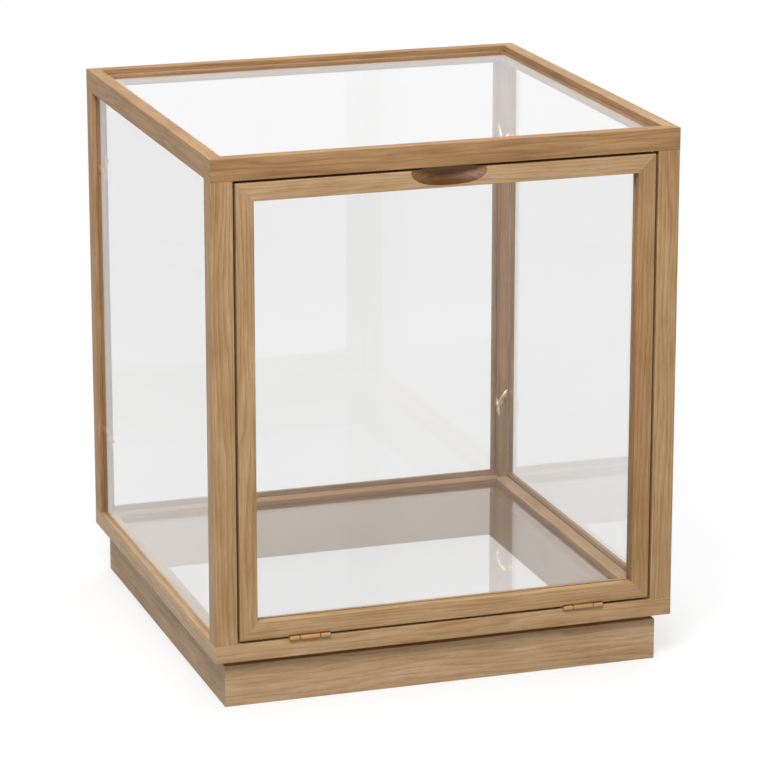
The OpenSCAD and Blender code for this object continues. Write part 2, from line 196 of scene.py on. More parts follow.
# Oak: its colours from pale to dark, and how dark each board is, from 0 for pale to 1 for
# dark and beyond. A board that isn't named here draws its own.

# The darkest stop is reached mostly by the painted shade in the scoop
OAK_STOPS = [(0.3, "#c8ab8a"), (0.48, "#b4926a"), (0.62, "#a07a4e"), (0.8, "#855f38"), (1.0, "#5c391b")]
BOARD_TONES = {
    "top_rail_front": 1.12, "door_rail_top": 0.2, "door_stile_right": 0.9, "door_stile_left": 0.5,
    "plinth_front": -0.05, "plinth_left": 0.4, "bottom_rail_left": 0.0, "bottom_rail_front": 0.25,
    "door_rail_bottom": 0.4, "post_front_left": 0.55, "post_front_right": 0.52, "top_rail_rear": 1.1,
    "top_rail_right": 0.8, "top_rail_left": 0.95, "post_rear_right": 0.85, "post_rear_left": 0.7,
}
TONE_RANGE = (0.2, 0.8)
BOARD_STEP = 5

# The scoop carries painted shade, least at its top and more with its depth, and the plinth's
# inner faces are painted paler, standing in for the floor pane's reflection over them

SCOOP_PAINTED_SHADE = 2.6
SCOOP_TOP_SHARE = 0.55
SCOOP_DEEP_SHARE = 0.6
PLINTH_PAINTED_REFLECTION = -2.0

# Oak's patterns, in millimetres along, across and through the board. The growth rings run its
# whole length, and the early wood at the start of a ring is the darker part. The others are
# noise, each with its detail and roughness, and the bend moves the rings by up to
# OAK_BEND_RINGS of them.

RING_SIZE = (1000, 4.2, 6.5)
EARLY_STOPS = [(0.0, 0.9), (0.2, 0.6), (0.5, 0.12), (0.88, 0.0), (1.0, 0.9)]
OAK_BEND_RINGS = 4.5
OAK_NOISE = {
    "bend": ((190, 17, 17), 2.0, 0.5),
    "cloud": ((95, 22, 22), 2.0, 0.5),
    "figure": ((46, 13, 13), 3.0, 0.6),
    "streak": ((38, 0.9, 0.9), 3.0, 0.6),
    "pore": ((8, 0.5, 0.5), 1.0, 0.5),
}
OAK_IOR = 1.46

# Pores: their colour, how much of it they take, and how open they are in the late wood and,
# on top of that, in the early wood

PORE_STOPS = [(0.56, 0.0), (0.68, 1.0)]
PORE_COLOUR = "#7a5836"
PORE_DARK = 0.5
PORE_LATE = 0.3
PORE_EARLY = 0.65

# Glass: the top pane's tint is painted light and the left one's, greyer, is painted shade

GLASS_TINT = "#f5f5f5"
TOP_PAINTED_LIGHT_TINT = "#fcfcfc"
LEFT_PAINTED_SHADE_TINT = "#e9e9e9"
GLASS_SHADE = "#f6f6f6"
GLASS_IOR = 1.5

# Floor and light. The floor is white at the camera from FLOOR_FAR on, and keeps its shadow
# up to FLOOR_NEAR from the middle of the case.

FLOOR_HALF = 8
FLOOR_COLOUR = "#bcbcbc"
FLOOR_SHADE = "#9a9a9a"
FLOOR_GLOW = 0.64
FLOOR_NEAR = 0.7
FLOOR_FAR = 1.6
WHITE = (1, 1, 1, 1)
FILL = 0.25
LAMP_AIM = (0, 0, 0.25)

# Lamps: place, length of a side, power, and whether the panes and the brass mirror it

LAMPS = {
    "key": ((-1.33, -2.5, 3.23), 1.5, 145, True),
    "overhead": ((-0.1, 0.1, 4), 2.6, 62, False),
    "back": ((1.9, 2.6, 2.2), 1.8, 50, False),
}

# Camera

CAMERA_LENS = 175.92
CAMERA_SENSOR = 36
CAMERA_AT = (-1.10005, -3.35228, 1.22476)
CAMERA_AIM = (0.00664, -0.01447, 0.23846)

# Sides of the case and edges of the door, both counted anticlockwise, and the cosine and
# sine of the quarter turns that lead to them

SIDES = ("front", "right", "rear", "left")
EDGES = ("bottom", "right", "top", "left")
QUARTER_TURNS = ((1, 0), (0, 1), (-1, 0), (0, -1))


# Meshes


def make_piece(name, body, material, points, faces, grain=None, tone=0.5):
    """A mesh object at the origin that rides on a body. Doubles are merged, so that rings
    which close to a point leave no empty faces, and the normals are turned outwards.
    grain holds each point's place in its own board, along, across and through the wood,
    and tone, one for the piece or one for each face, runs from 0 for pale to 1 for dark."""
    mesh = bpy.data.meshes.new(name)
    mesh.from_pydata([tuple(p) for p in points], [], faces)
    if grain is not None:
        layer = mesh.attributes.new("grain", "FLOAT_VECTOR", "POINT")
        layer.data.foreach_set("vector", np.asarray(grain, np.float32).ravel())
        layer = mesh.attributes.new("tone", "FLOAT", "FACE")
        layer.data.foreach_set("value", np.broadcast_to(np.float32(tone), (len(faces),)).copy())
    work = bmesh.new()
    work.from_mesh(mesh)
    bmesh.ops.remove_doubles(work, verts=work.verts, dist=MERGE)
    bmesh.ops.recalc_face_normals(work, faces=work.faces)
    work.to_mesh(mesh)
    work.free()
    mesh.materials.append(material)
    piece = bpy.data.objects.new(name, mesh)
    bpy.context.scene.collection.objects.link(piece)
    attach(piece, body)
    return piece


def smooth_by_angle(piece):
    """Shades a piece smooth, with its edges above SHARP_DEGREES kept sharp."""
    mesh = piece.data
    work = bmesh.new()
    work.from_mesh(mesh)
    sharp = math.radians(SHARP_DEGREES)
    for edge in work.edges:
        edge.smooth = len(edge.link_faces) == 2 and edge.calc_face_angle(0.0) < sharp
    for face in work.faces:
        face.smooth = True
    work.to_mesh(mesh)
    work.free()


def ring_faces(stations, count):
    """Faces of closed rings of points, each joined to the next, with both ends capped."""
    first = np.arange(stations - 1)[:, None] * count + np.arange(count)[None, :]
    turn = np.arange(stations - 1)[:, None] * count + (np.arange(count)[None, :] + 1) % count
    sides = np.stack([first, turn, turn + count, first + count], -1).reshape(-1, 4)
    caps = [list(range(count))[::-1], list(range((stations - 1) * count, stations * count))]
    return sides.tolist() + caps


def face_middles(rings):
    """The mean of the corners of each face."""
    points = rings.reshape(-1, 3)
    return np.array([points[face].mean(0) for face in ring_faces(*rings.shape[:2])])


def eased(outline, radii, steps=4):
    """The outline of a section with each corner eased. A corner is replaced by a quadratic
    curve that starts and ends one radius from it, or a little under half the way to the
    next corner where that is nearer."""
    corner = np.asarray(outline, float)
    radius = np.broadcast_to(np.asarray(radii, float), (len(corner),))
    before = np.roll(corner, 1, 0) - corner
    after = np.roll(corner, -1, 0) - corner
    len_before = np.maximum(np.linalg.norm(before, axis=1), TINY)
    len_after = np.maximum(np.linalg.norm(after, axis=1), TINY)
    reach = np.minimum(radius, EASE_SHARE * np.minimum(len_before, len_after))
    start = corner + before / len_before[:, None] * reach[:, None]
    end = corner + after / len_after[:, None] * reach[:, None]
    t = np.linspace(0, 1, steps)[None, :, None]
    curve = (1 - t) ** 2 * start[:, None] + 2 * t * (1 - t) * corner[:, None] + t**2 * end[:, None]
    return curve.reshape(-1, 2)


def shrunk(section, amount):
    """A closed section moved inward by that amount, each point along the mean normal of
    its two edges. Sections are listed anticlockwise, and points in one place move together."""
    moved = np.linalg.norm(section - np.roll(section, 1, 0), axis=1) > TINY
    core = section[moved]
    before = core - np.roll(core, 1, 0)
    after = np.roll(core, -1, 0) - core
    edge = before / np.linalg.norm(before, axis=1)[:, None]
    edge = edge + after / np.linalg.norm(after, axis=1)[:, None]
    edge = edge / np.maximum(np.linalg.norm(edge, axis=1), TINY)[:, None]
    core = core + amount * np.stack([-edge[:, 1], edge[:, 0]], 1)
    return core[np.cumsum(moved) - 1]


def anticlockwise(section):
    """The section's points in anticlockwise order."""
    x, y = section[:, 0], section[:, 1]
    area = np.sum(x * np.roll(y, -1) - np.roll(x, -1) * y)
    return section if area > 0 else section[::-1]


def mitred_rings(length, stations, sections):
    """Rings of a bar mitred at both ends. A section lies in (inward, other), and the bar's
    end is drawn back from its full length by the distance inward, so that the end faces
    lie at 45 degrees. stations are places along the bar, one for each section, and a point
    that a mitre has already cut off moves back to it. The first and last section also
    close the ends, with a small easing."""
    rings = []
    for sign, section in ((-1, sections[0]), (1, sections[-1])):
        inner = shrunk(section, JOINT_EASE)
        for part, back in ((inner, 0), (section, JOINT_EASE)):
            along = sign * (length / 2 - part[:, 0] - back)
            rings.append(np.stack([along, part[:, 0], part[:, 1]], 1))
    middle = []
    for place, section in zip(stations, sections):
        room = length / 2 - JOINT_EASE - section[:, 0]
        along = np.clip(place, -room, room)
        middle.append(np.stack([along, section[:, 0], section[:, 1]], 1))
    return np.array([rings[0], rings[1]] + middle + [rings[3], rings[2]])


def plain_rings(length, width, section):
    """Rings of a mitred bar with one section all along. Its mitres are width deep."""
    end = length / 2 - width
    return mitred_rings(length, [-end, end], [section] * 2)


# Placing


def side_length(k):
    """The full length of side k of the case."""
    return CASE_W if k % 2 == 0 else CASE_D


def at_side(k, local):
    """Points given at side k of the case, turned by k quarter turns about the middle."""
    half = (CASE_D if k % 2 == 0 else CASE_W) / 2
    x, y = local[..., 0], local[..., 1] - half
    c, s = QUARTER_TURNS[k]
    return np.stack([c * x - s * y, s * x + c * y + MID_Y, local[..., 2]], -1)


def at_door_edge(k, local):
    """Points given at an edge of the door as (along, in from the edge, back from the face),
    turned by k quarter turns about the middle of the door."""
    half = (DOOR_H if k % 2 == 0 else DOOR_W) / 2
    x, z = local[..., 0], local[..., 1] - half
    c, s = QUARTER_TURNS[k]
    return np.stack([c * x - s * z, FRONT_Y + local[..., 2], DOOR_MID_Z + s * x + c * z], -1)


def at_corner(sx, sy, local):
    """Points given at a corner as (in from the side, in from the front or rear, up)."""
    x = sx * (CASE_W / 2 - local[..., 0])
    y = MID_Y + sy * (CASE_D / 2 - local[..., 1])
    return np.stack([x, y, local[..., 2]], -1)


# Boards


dice = np.random.default_rng(7)


def board_place(local, along_axis):
    """Places in the board for the grain: the along axis first, then the two others, moved
    by a random step so that no two boards share their figure."""
    order = [along_axis] + [axis for axis in range(3) if axis != along_axis]
    offset = dice.uniform(0, BOARD_STEP, 3)
    return local[..., order].reshape(-1, 3) + offset


def board(name, body, oak, rings, place, along_axis=0, darker=0):
    """A board from rings of points in its own place, which the function place moves to the
    case, with its grain along one axis. Where darker is given, it holds how much darker
    each face is."""
    grain = board_place(rings, along_axis)
    tone = dice.uniform(*TONE_RANGE)
    tone = BOARD_TONES.get(name.replace("oak_", ""), tone) + darker
    points = place(rings).reshape(-1, 3)
    piece = make_piece(name, body, oak, points, ring_faces(*rings.shape[:2]), grain, tone)
    smooth_by_angle(piece)
    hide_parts(name.replace("oak_", ""))


def top_rail_section(rebate_in):
    """A top rail, with a rebate for a side pane underneath from rebate_in inwards."""
    foot = [(0, HEAD_Z), (MEMBER, HEAD_Z)]
    if rebate_in:
        foot = [(0, HEAD_Z), (rebate_in, HEAD_Z), (rebate_in, PANE_HEAD_Z), (MEMBER, PANE_HEAD_Z)]
    rest = [(MEMBER, LEDGE_Z), (LEDGE_IN, LEDGE_Z), (LEDGE_IN, TOP_Z), (0, TOP_Z)]
    ease = [EASE] + [INNER_EASE] * (len(foot) - 1) + [INNER_EASE, 0, EASE, EASE]
    return anticlockwise(eased(foot + rest, ease))


# The foot of every bottom rail, up to the groove for the floor pane

GROOVED_FOOT = [
    (0, RAIL_FOOT_Z), (MEMBER, RAIL_FOOT_Z), (MEMBER, FLOOR_Z), (GROOVE_IN, FLOOR_Z),
    (GROOVE_IN, FLOOR_TOP_Z), (MEMBER, FLOOR_TOP_Z),
]
GROOVED_EASE = [EASE, INNER_EASE, 0, 0, 0, 0]


def bottom_rail_section(rebate_in):
    """A bottom rail, grooved for the floor pane, with its rebate on top."""
    outline = GROOVED_FOOT + [
        (MEMBER, PANE_FOOT_Z), (rebate_in, PANE_FOOT_Z), (rebate_in, SILL_Z), (0, SILL_Z),
    ]
    return anticlockwise(eased(outline, GROOVED_EASE + [INNER_EASE, 0, INNER_EASE, EASE]))


def plinth_section():
    """A plinth board, with the shadow gap cut from the head of its outer face."""
    face_top = RAIL_FOOT_Z - SHADOW_GAP
    outline = [
        (0, 0), (PLINTH_T, 0), (PLINTH_T, RAIL_FOOT_Z),
        (SHADOW_DEPTH, RAIL_FOOT_Z), (SHADOW_DEPTH, face_top), (0, face_top),
    ]
    return anticlockwise(eased(outline, [EASE, INNER_EASE, INNER_EASE, INNER_EASE, 0, EASE]))


def rebated_rings(k, section):
    """Rings of a side or rear rail. The rebate runs through, except that it stops at the
    core of the front post at the front end of a side rail."""
    length = side_length(k)
    stub, full = section(CORE), section(LIP)
    end = length / 2 - MEMBER
    stop = length / 2 - CORE - JOINT_EASE
    if k == 1:
        return mitred_rings(length, [-stop, -stop, end], [stub, full, full])
    if k == 3:
        return mitred_rings(length, [-end, stop, stop], [full, full, stub])
    return plain_rings(length, MEMBER, full)


def build_rails(oak):
    """The rails and plinth boards, side by side. The front bottom rail has hinge mortises and
    is built apart. A plinth board's inner face is painted paler, as a painted reflection."""
    for k, side in enumerate(SIDES):
        place = partial(at_side, k)
        if k == 0:
            rings = plain_rings(CASE_W, MEMBER, top_rail_section(0))
            board("oak_top_rail_front", "case", oak, rings, place)
        else:
            rings = rebated_rings(k, top_rail_section)
            board("oak_top_rail_" + side, "case", oak, rings, place)
            rings = rebated_rings(k, bottom_rail_section)
            board("oak_bottom_rail_" + side, "case", oak, rings, place)
        rings = plain_rings(side_length(k) - 2 * PLINTH_IN, PLINTH_T, plinth_section())
        # The plinth's inner faces get a painted reflection that makes them paler
        inner_face = face_middles(rings)[:, 1] > PLINTH_T - OFF_FACE
        darker = np.where(inner_face, PLINTH_PAINTED_REFLECTION, 0)
        rings = rings + np.array([0, PLINTH_IN, 0])
        board("oak_plinth_" + side, "case", oak, rings, place, darker=darker)


def build_posts(oak):
    """Front posts are one section from sill to head. A rear post's core runs on past its
    lips at both ends, so its rings step in to the core's own outline there."""
    front = [(0, 0), (MEMBER, 0), (MEMBER, CORE), (LIP, CORE), (LIP, MEMBER), (0, MEMBER)]
    front = anticlockwise(eased(front, [EASE, EASE, INNER_EASE, 0, INNER_EASE, EASE]))
    rear = [
        (0, 0), (MEMBER, 0), (MEMBER, LIP), (CORE, LIP),
        (CORE, CORE), (LIP, CORE), (LIP, MEMBER), (0, MEMBER),
    ]
    rear = anticlockwise(eased(rear, [EASE, EASE, INNER_EASE, 0, EASE, 0, INNER_EASE, EASE]))
    core = [(LIP, LIP)] + [(CORE, LIP)] * 3 + [(CORE, CORE)] + [(LIP, CORE)] * 3
    core = anticlockwise(eased(core, [0, 0, 0, 0, EASE, 0, 0, 0]))

    def levels(pairs):
        """Rings of (height, section) pairs."""
        rings = [np.column_stack([section, np.full(len(section), z)]) for z, section in pairs]
        return np.array(rings)

    for sx, side in ((-1, "left"), (1, "right")):
        tight = shrunk(front, JOINT_EASE)
        rings = levels([
            (SILL_Z, tight), (SILL_Z + JOINT_EASE, front),
            (HEAD_Z - JOINT_EASE, front), (HEAD_Z, tight),
        ])
        board("oak_post_front_" + side, "case", oak, rings, partial(at_corner, sx, -1), 2)
        tight = shrunk(rear, JOINT_EASE)
        rings = levels([
            (PANE_FOOT_Z, core), (SILL_Z, core), (SILL_Z, tight), (SILL_Z + JOINT_EASE, rear),
            (HEAD_Z - JOINT_EASE, rear), (HEAD_Z, tight), (HEAD_Z, core), (PANE_HEAD_Z, core),
        ])
        board("oak_post_rear_" + side, "case", oak, rings, partial(at_corner, sx, 1), 2)


# Bars with mortises and the finger scoop


def hinge_ends():
    """The two hinges' ends along the case, from left to right."""
    boxes = [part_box("hinge_case_leaf_" + side) for side in ("left", "right")]
    return [(lo.x, hi.x) for lo, hi in boxes]


def mortised_rings(length, width, plain, cut):
    """Rings of a bar whose section steps from plain to cut along each hinge."""
    stations, sections = [width - length / 2], [plain]
    for start, end in hinge_ends():
        stations += [start, start, end, end]
        sections += [plain, cut, cut, plain]
    return mitred_rings(length, stations + [length / 2 - width], sections + [plain])


def build_sill_rail(oak):
    """The front bottom rail, grooved for the floor pane and mortised for the case leaves."""
    outline = GROOVED_FOOT + [(MEMBER, SILL_Z), (LEAF_DEEP, SILL_Z)]
    ease = GROOVED_EASE + [INNER_EASE, 0, 0, EASE]
    plain = eased(outline + [(LEAF_DEEP, SILL_Z), (0, SILL_Z)], ease)
    cut = eased(outline + [(LEAF_DEEP, SILL_Z - LEAF_T), (0, SILL_Z - LEAF_T)], ease)
    rings = mortised_rings(CASE_W, MEMBER, anticlockwise(plain), anticlockwise(cut))
    board("oak_bottom_rail_front", "case", oak, rings, partial(at_side, 0))


def door_board(name, k, oak, rings, darker=0):
    """A board at edge k of the door."""
    board(name, "door", oak, rings, partial(at_door_edge, k), darker=darker)


def scoop_painted_shade(rings):
    """Painted shade in the scoop: how much darker each face is drawn, for the faces whose middle
    lies off the door's outer faces, inside the scoop, up to where the easing of the edge takes
    over. The painted shade is least at the top and grows the lower a face lies."""
    middle = face_middles(rings)
    end = math.sqrt((SCOOP_RING_R + SCOOP_R) ** 2 - (SCOOP_RING_OUT + EASE) ** 2)
    along, down, back = middle.T
    inside = (np.abs(along) < end) & (down > OFF_FACE) & (back > OFF_FACE)
    inside &= np.hypot(down, back + SCOOP_R - SCOOP_DEPTH) < SCOOP_R * SCOOP_SLACK
    return np.where(inside, SCOOP_PAINTED_SHADE * (SCOOP_TOP_SHARE + SCOOP_DEEP_SHARE * down / SCOOP_R), 0)


def build_door(oak):
    """Stiles, a mortised bottom rail, a top rail with the finger scoop, and the beads. The
    sections lie in (in from the door's edge, back from its face)."""
    step = [
        (DOOR_FACE, 0), (DOOR_FACE, DOOR_REVEAL), (BEAD_IN, DOOR_REVEAL),
        (BEAD_IN, DOOR_DEPTH), (0, DOOR_DEPTH),
    ]
    ease = [EASE, INNER_EASE, 0, INNER_EASE, EASE]
    plain = anticlockwise(eased([(0, 0)] + step, [EASE] + ease))
    for k in (1, 3):
        door_board("oak_door_stile_" + EDGES[k], k, oak, plain_rings(DOOR_H, DOOR_FACE, plain))

    plain = eased([(0, 0)] + step + [(0, LEAF_DEEP)] * 2, [EASE] + ease + [0, 0])
    cut = eased([(LEAF_T, 0)] + step + [(0, LEAF_DEEP), (LEAF_T, LEAF_DEEP)], [EASE] + ease + [0, 0])
    rings = mortised_rings(DOOR_W, DOOR_FACE, anticlockwise(plain), anticlockwise(cut))
    door_board("oak_door_rail_bottom", 0, oak, rings)

    places = SCOOP_W / 2 * np.sin(np.radians(np.linspace(-90, 90, 49)))
    end = DOOR_W / 2 - DOOR_FACE
    stations = [-end, *places, end]
    sections = []
    for x in stations:
        curve = scoop_curve(abs(x))[::-1]
        outline = step + [tuple(p) for p in curve]
        sections.append(anticlockwise(eased(outline, ease + [0] * len(curve))))
    rings = mitred_rings(DOOR_W, stations, sections)
    # The scoop's faces carry painted shade
    door_board("oak_door_rail_top", 2, oak, rings, scoop_painted_shade(rings))

    back = bead_lo.y - FRONT_Y
    outline = [(0, back), (BEAD_W, back), (BEAD_W, back + BEAD_DEPTH), (0, back + BEAD_DEPTH)]
    section = anticlockwise(eased(outline, [0, 0, BEAD_EASE, INNER_EASE]))
    for k, edge in enumerate(EDGES):
        length = (DOOR_W if k % 2 == 0 else DOOR_H) - 2 * BEAD_IN
        rings = plain_rings(length, BEAD_W, section)
        door_board("oak_door_bead_" + edge, k, oak, rings + np.array([0, BEAD_IN, 0]))


def scoop_curve(x, count=14):
    """The scoop's cut through the door's top front edge, from the front face to the top
    face, at a place x from its middle, as (down from the top, back from the face). A ring
    of round section lies level in front of the door: at the angle a in that section the
    cut is r sin a deep, and back from the face by the root of (R + r cos a) squared less x
    squared, less the ring's distance in front. Where that is smaller than the easing of
    the edge, the easing takes over."""
    ring_out, ring_r = SCOOP_RING_OUT, SCOOP_RING_R
    t = np.linspace(0, 1, count)
    easing = np.column_stack([(1 - t) ** 2, t**2])
    cosine = min(1.0, (math.hypot(x, ring_out) - ring_r) / SCOOP_R)
    a = math.acos(cosine) * (1 - t)
    back = np.sqrt(np.maximum((ring_r + SCOOP_R * np.cos(a)) ** 2 - x**2, 0)) - ring_out
    down = SCOOP_R * np.sin(a)
    if min(back[-1], down[0]) > EASE:
        return np.column_stack([down, np.maximum(back, 0)])
    return easing * np.array([max(down[0], EASE), max(back[-1], EASE)])


def build_stop(oak):
    """The strip under the front top rail that the door closes against."""
    lo, hi = stop_lo, stop_hi
    outline = [(lo.y, lo.z), (hi.y, lo.z), (hi.y, hi.z), (lo.y, hi.z)]
    section = anticlockwise(eased(outline, [INNER_EASE, EASE, 0, 0]))
    ends = ((lo.x, JOINT_EASE), (lo.x + JOINT_EASE, 0), (hi.x - JOINT_EASE, 0), (hi.x, JOINT_EASE))
    rings = [np.column_stack([np.full(len(section), x), shrunk(section, e)]) for x, e in ends]
    board("oak_door_stop", "case", oak, np.array(rings), lambda p: p)


# Panes


def build_pane(node, body, glass):
    """A pane with seamed arrises: rings of its outline through its thickness, the first and
    last drawn in by the seam. A film of air parts it from the oak that it lies against."""
    lo, hi = (np.array(corner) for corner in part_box(node))
    thin = int(np.argmin(hi - lo))
    lo, hi = lo + PANE_AIR, hi - PANE_AIR
    wide = [axis for axis in range(3) if axis != thin]
    unit = np.array([(0, 0), (1, 0), (1, 1), (0, 1)])
    levels = ((lo[thin], SEAM), (lo[thin] + SEAM, 0), (hi[thin] - SEAM, 0), (hi[thin], SEAM))
    rings = np.empty((4, 4, 3))
    for ring, (place, inset) in zip(rings, levels):
        ring[:, thin] = place
        for n, axis in enumerate(wide):
            ring[:, axis] = np.where(unit[:, n] == 0, lo[axis] + inset, hi[axis] - inset)
    name = "glass_" + node.replace("_glass", "")
    piece = make_piece(name, body, glass, rings.reshape(-1, 3), ring_faces(4, 4))
    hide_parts(node)


# Brass and steel


def hardware(name, body, metal, shells, node):
    """A piece of one or more closed shells, each given as rings of points."""
    points, faces = [], []
    start = 0
    for rings in shells:
        points.append(rings.reshape(-1, 3))
        faces += [[start + i for i in face] for face in ring_faces(*rings.shape[:2])]
        start += rings.shape[0] * rings.shape[1]
    piece = make_piece(name, body, metal, np.concatenate(points), faces)
    smooth_by_angle(piece)
    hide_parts(node)


def revolved(profile, count=32):
    """Rings round the Z axis, one at each (radius, height) of a profile."""
    profile = np.asarray(profile, float)
    turn = np.linspace(0, 2 * math.pi, count, endpoint=False)
    x = profile[:, :1] * np.cos(turn)
    y = profile[:, :1] * np.sin(turn)
    return np.stack([x, y, np.broadcast_to(profile[:, 1:], x.shape)], -1)


def slotted_head(radius, rise, base, slot_deep, count=9):
    """A screw head cut across by a slot along X. Rings lie at rows of constant y, from one
    edge to the other, and each is the head's section there: its foot at base, its sides up
    to the rim, and points over the top at the height rise(x, y). The two rows at the
    slot's edges are doubled, and between them the top lies at the slot's floor."""
    edge = np.radians(np.linspace(-90, 0, 12))
    outer = radius * np.sin(edge[:-1])
    outer = outer[outer < -SLOT_W / 2]
    rows = [(y, False) for y in outer] + [(-SLOT_W / 2, False), (-SLOT_W / 2, True)]
    rows += [(-y, cut) for y, cut in rows[::-1]]
    rings = []
    for y, cut in rows:
        reach = math.sqrt(max(radius**2 - y**2, 0))
        x = reach * np.linspace(-1, 1, count)
        top = rise(x, y)
        if cut:
            top = np.full(count, rise(0.0, 0.0) - slot_deep)
        side = np.array([(-reach, y, base), (reach, y, base)])
        rings.append(np.concatenate([side[:1], np.column_stack([x, np.full(count, y), top]), side[1:]]))
    return np.array(rings)


def leaf_shell(side, up):
    """A hinge leaf with its knuckles rolled from the plate. In (back, up) from the axis its
    section is the plate's outer face, an arc from under the axis round the front to the
    plate's inner face, and that face. Between the knuckles the plate ends on a hollow that
    clears the other leaf."""
    lo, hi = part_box("hinge_%s_leaf_%s" % ("door" if up > 0 else "case", side))
    middle, half = (lo.x + hi.x) / 2, (hi.x - lo.x) / 2
    reach = hi.y - AXIS_Y
    outer, inner = up * (KNUCKLE_R + PLATE_OUT), up * (KNUCKLE_R + PLATE_OUT - LEAF_T)
    rise = math.asin(abs(inner) / KNUCKLE_R)
    turn = np.linspace(-math.pi / 2, -2 * math.pi - rise, 40)
    arc = np.column_stack([np.cos(turn), -up * np.sin(turn)])
    level = np.linspace(outer, inner, len(turn))
    hollow = np.column_stack([np.sqrt(HOLLOW_R**2 - level**2), level])

    quarter = half / 2
    spans = [(-half, -quarter, 1), (-quarter, quarter, 0), (quarter, half, 1)]
    if up > 0:
        long = quarter - KNUCKLE_GAP
        spans = [(-half, -long, 0), (-long, long, 1), (long, half, 0)]
    rings = []
    for start, end, rolled in spans:
        steps = ((start, 0), (end, 0))
        if rolled:
            steps = ((start, 1), (start + KNUCKLE_EASE, 0), (end - KNUCKLE_EASE, 0), (end, 1))
        for x, drawn in steps:
            curve = arc * (KNUCKLE_R - drawn * KNUCKLE_EASE) if rolled else hollow
            first = 0 if rolled else hollow[0, 0]
            section = np.concatenate([[(reach, outer), (first, outer)], curve, [(reach, inner)]])
            rings.append(np.column_stack([np.full(len(section), x), section]))
    return np.array(rings) + np.array([middle, AXIS_Y, AXIS_Z])


def flat_top(x, y):
    """The height of a countersunk head's top over its leaf."""
    return x * 0 + PROUD


def build_hinges(brass):
    """Leaves, domed pins and four countersunk screws for each side of the hinges. A pin's dome
    has its shoulder at the shares PIN_SHOULDER of its radius and height."""
    shoulder, fall = PIN_SHOULDER
    for side in ("left", "right"):
        for word, up in (("case", -1), ("door", 1)):
            name = "hinge_%s_leaf_%s" % (word, side)
            hardware("brass_" + name, word, brass, [leaf_shell(side, up)], name)
        lo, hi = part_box("hinge_pin_" + side)
        radius, end = (hi.z - lo.z) / 2, (hi.x - lo.x) / 2
        dome = [(radius, end), (radius * shoulder, end + PIN_DOME * fall), (0, end + PIN_DOME)]
        profile = [(r, -along) for r, along in dome[::-1]] + dome
        rings = revolved(profile)[..., [2, 0, 1]] + np.array((lo + hi) / 2)
        hardware("brass_hinge_pin_" + side, PIN_BODY, brass, [rings], "hinge_pin_" + side)

    for word, up, face in (("case", -1, SILL_Z), ("door", 1, DOOR_FOOT_Z)):
        shells = []
        for start, end in hinge_ends():
            middle = (start + end) / 2
            for x in (middle - LEAF_SCREW_X, middle + LEAF_SCREW_X):
                lean = dice.uniform(-LEAF_SCREW_TURN, LEAF_SCREW_TURN)
                c, s = math.cos(lean), math.sin(lean)
                head = slotted_head(LEAF_HEAD_R, flat_top, -LEAF_RIM, FLAT_SLOT)
                shank = revolved([
                    (0, -LEAF_RIM), (LEAF_HEAD_R - LEAF_RIM, -LEAF_RIM), (LEAF_SHANK_R, -LEAF_T),
                    (LEAF_SHANK_R, -LEAF_SCREW_LEN + LEAF_SHANK_R), (0, -LEAF_SCREW_LEN),
                ])
                for rings in (head, shank):
                    px = x + c * rings[..., 0] - s * rings[..., 1]
                    py = FRONT_Y + LEAF_SCREW_IN + s * rings[..., 0] + c * rings[..., 1]
                    shells.append(np.stack([px, py, face - up * rings[..., 2]], -1))
        name = "hinge_screws_" + word
        hardware("brass_" + name, word, brass, shells, name)


def at_button(name, lean, local):
    """Points given at a turn button as (across, along, out from the post's face), leaned
    about its screw."""
    pane, post = name.split("_")[1:3]
    sx = -1 if "left" in (pane, post) else 1
    sy = -1 if post == "front" else 1
    lo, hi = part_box(name)
    c, s = math.cos(lean), math.sin(lean)
    x = c * local[..., 0] + s * local[..., 1]
    y = c * local[..., 1] - s * local[..., 0]
    u, v = BUTTON_IN + x, CORE + local[..., 2]
    if pane == "rear":
        u, v = v, u
    return at_corner(sx, sy, np.stack([u, v, (lo.z + hi.z) / 2 - y], -1))


def button_shell():
    """A leaf-shaped button with blunt tips. Along its length s its half width is the widest
    times 1 - s squared to the power BUTTON_TAPER, and its thickness falls to the tips with
    the square of s. Its section at s is a flat foot and a crown whose height is the
    thickness times the sine to the power BUTTON_CROWN."""
    s = BUTTON_HALF * np.sin(np.radians(np.linspace(-90, 90, 33)))[:, None]
    width = BUTTON_HALF_W * np.maximum(1 - (s / BUTTON_HALF) ** 2, 0) ** BUTTON_TAPER
    thick = BUTTON_TIP + (BUTTON_T - BUTTON_TIP) * (1 - (s / BUTTON_HALF) ** 2)
    phi = np.linspace(0, math.pi, 17)[None, :]
    out = BUTTON_GAP + thick * np.sin(phi).clip(0) ** BUTTON_CROWN
    return np.stack([width * np.cos(phi), np.broadcast_to(s, out.shape), out], -1)


